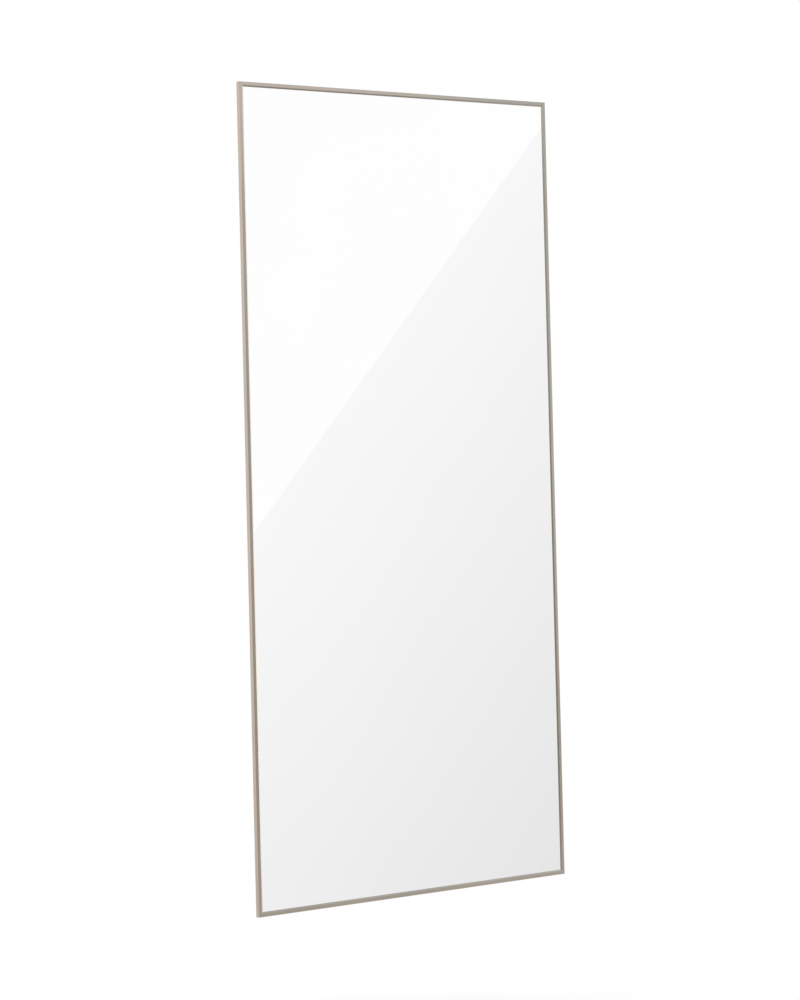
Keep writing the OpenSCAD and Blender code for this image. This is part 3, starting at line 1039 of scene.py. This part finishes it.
def make_floor():
    mesh = bpy.data.meshes.new("floor")
    corners = []
    for x, y in ((-1, -1), (1, -1), (1, 1), (-1, 1)):
        corners.append((x * FLOOR_HALF, y * FLOOR_HALF, FLOOR_Z))
    mesh.from_pydata(corners, [], [(0, 1, 2, 3)])
    floor = add_object("floor", mesh)
    mesh.materials.append(pale_floor())


def reflected_only(card):
    """A card that only mirrors and metal show."""
    card.visible_camera = False
    card.visible_diffuse = False
    card.visible_transmission = False
    card.visible_shadow = False
    card.visible_volume_scatter = False


def card_glow(name, near, far, reach, for_glass):
    """A glow for a painted reflection, whose strength goes from near to far over that reach of X.
    Either the glass alone shows it, or the metal alone."""
    material = bpy.data.materials.new(name)
    material.use_nodes = True
    tree = material.node_tree
    tree.nodes.remove(tree.nodes["Principled BSDF"])
    place = tree.nodes.new("ShaderNodeTexCoord").outputs["Object"]
    parts = tree.nodes.new("ShaderNodeSeparateXYZ")
    tree.links.new(place, parts.inputs["Vector"])
    fade = tree.nodes.new("ShaderNodeMapRange")
    fade.inputs["From Min"].default_value = 0.0
    fade.inputs["From Max"].default_value = reach
    fade.inputs["To Min"].default_value = near
    fade.inputs["To Max"].default_value = far
    tree.links.new(parts.outputs["X"], fade.inputs["Value"])
    glow = tree.nodes.new("ShaderNodeEmission")
    tree.links.new(fade.outputs["Result"], glow.inputs["Strength"])
    shown = glow.outputs["Emission"]
    clear = tree.nodes.new("ShaderNodeBsdfTransparent").outputs["BSDF"]
    to_metal, to_glass = (clear, shown) if for_glass else (shown, clear)
    surface = blend_shaders(tree, light_share(tree, "Is Singular Ray"), to_metal, to_glass)
    tree.links.new(surface, tree.nodes["Material Output"].inputs["Surface"])
    return material


def add_card(name, corners, matrix, near, far, reach=1.0, for_glass=False):
    """A glowing card, with its corners on its own X and Y."""
    mesh = bpy.data.meshes.new(name)
    mesh.from_pydata([(x, y, 0) for x, y in corners], [], [range(len(corners))])
    card = add_object(name, mesh)
    card.matrix_world = matrix
    reflected_only(card)
    mesh.materials.append(card_glow(name, near, far, reach, for_glass))


def facing(place, across, along):
    """The matrix of a card at a place, whose X goes across and whose Y goes along."""
    x = Vector(across).normalized()
    y = Vector(along).normalized()
    matrix = Matrix((x, y, x.cross(y))).transposed().to_4x4()
    matrix.translation = place
    return matrix


def metal_card(name, place, across, half_x, half_z, strength):
    """An upright card that only the metal shows, in one tone."""
    corners = ((-half_x, -half_z), (half_x, -half_z), (half_x, half_z), (-half_x, half_z))
    add_card(name, corners, facing(place, across, UPWARD), near=strength, far=strength)


def make_slanting_card():
    """A glowing grey card in front of the mirror, as a painted reflection. The glass shows it below
    its slanting edge.
    """
    add_card(
        "slanting_card",
        SLANTING_OUTLINE,
        facing(SLANTING_AT, SLANTING_X, SLANTING_Y),
        near=0.945,
        far=0.80,
        reach=SLANTING_FADE,
        for_glass=True,
    )


def make_metal_cards():
    """Glowing cards as painted reflections, shown by the metal alone: a narrow dim card in front for
    painted shade, a bright strip on the right and a bright card high up in front for painted light."""
    metal_card("dark_card", (0.1, -1.0, -0.03), ACROSS, half_x=0.1, half_z=0.47, strength=0.36)
    metal_card("light_strip", (2.6, -1.05, 0.0), BACKWARD, half_x=0.6, half_z=1.35, strength=2.9)
    add_card("high_card", HIGH_OUTLINE, facing(HIGH_AT, ACROSS, UPWARD), near=1.4, far=1.4)


def make_lamps():
    """Three large soft lamps. Mirrors and metal don't show them."""
    for name, place, size, power in LAMPS:
        light = bpy.data.lights.new(name, "AREA")
        light.shape = "SQUARE"
        light.size = size
        light.energy = power
        lamp = add_object(name, light)
        lamp.location = place
        lamp.rotation_euler = (-Vector(place)).to_track_quat("-Z", "Y").to_euler()
        lamp.visible_glossy = False
        lamp.visible_camera = False


def make_camera():
    """The photograph's view: a long lens from the front left, level, a little above half height."""
    yaw = math.radians(CAMERA_YAW)
    pitch = math.radians(CAMERA_PITCH)
    roll = math.radians(CAMERA_ROLL)
    level = Vector((math.cos(yaw), -math.sin(yaw), 0))
    flat = math.cos(pitch)
    ahead = Vector((math.sin(yaw) * flat, math.cos(yaw) * flat, math.sin(pitch)))
    up = level.cross(ahead)
    right = level * math.cos(roll) + up * math.sin(roll)
    top = up * math.cos(roll) - level * math.sin(roll)
    data = bpy.data.cameras.new("camera")
    data.sensor_width = 36
    data.lens = 115.2
    data.shift_x = -0.0025
    data.shift_y = -0.11358
    data.clip_start = 0.1
    data.clip_end = 60
    camera = add_object("camera", data)
    matrix = Matrix((right, top, -ahead)).transposed().to_4x4()
    matrix.translation = CAMERA_AT
    camera.matrix_world = matrix
    bpy.context.scene.camera = camera


make_camera()
finish_packed_pieces()
make_frame()
make_corner_screws()
make_hangers()
make_hanger_screws()
make_bumpers()
make_world()
make_floor()
make_slanting_card()
make_metal_cards()
make_lamps()
bpy.context.scene.view_settings.view_transform = "Standard"
